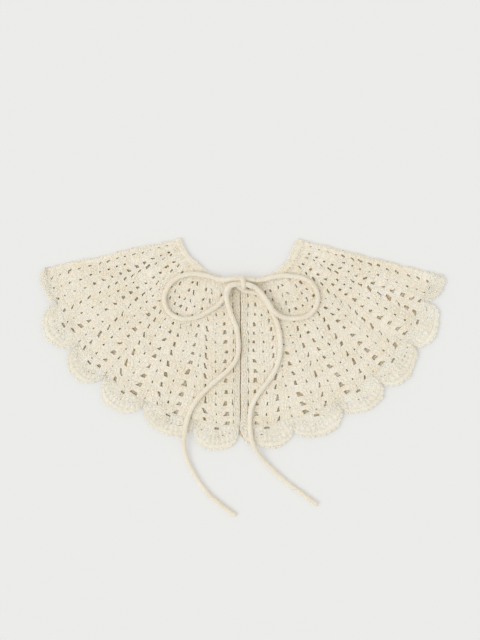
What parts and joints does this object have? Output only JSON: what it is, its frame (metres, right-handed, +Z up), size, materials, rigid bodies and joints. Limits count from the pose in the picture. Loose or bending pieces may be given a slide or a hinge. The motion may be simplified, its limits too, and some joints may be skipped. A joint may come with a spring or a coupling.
{
  "type": "lace collar",
  "caption": "Round crocheted lace collar with a scalloped edging and a tied neck cord, laid flat and folded at the shoulders.",
  "frame": {"origin": "on the surface that the collar lies on, under the middle of the laid-out collar without its cords", "axes": "+Z up from the surface, +X along the collar's width towards the front on that side, -Y from the neck towards the hem at the centre front"},
  "size_m": [0.4894, 0.3356, 0.0193],
  "materials": {
    "lace_cotton": "matt unbleached crochet cotton",
    "band_cotton": "matt unbleached crochet cotton, close stitches",
    "cord_cotton": "matt unbleached cotton cord"
  },
  "bodies": {
    "root": {"back": "lace_cotton", "back_edging": "lace_cotton", "left_front": "lace_cotton", "right_front": "lace_cotton", "left_front_edging": "lace_cotton", "right_front_edging": "lace_cotton", "left_front_band": "band_cotton", "right_front_band": "band_cotton", "bow_knot": "cord_cotton", "bow_loop_left": "cord_cotton", "bow_loop_right": "cord_cotton", "tie_tail_left": "cord_cotton", "tie_tail_right": "cord_cotton"}
  },
  "joints": []
}
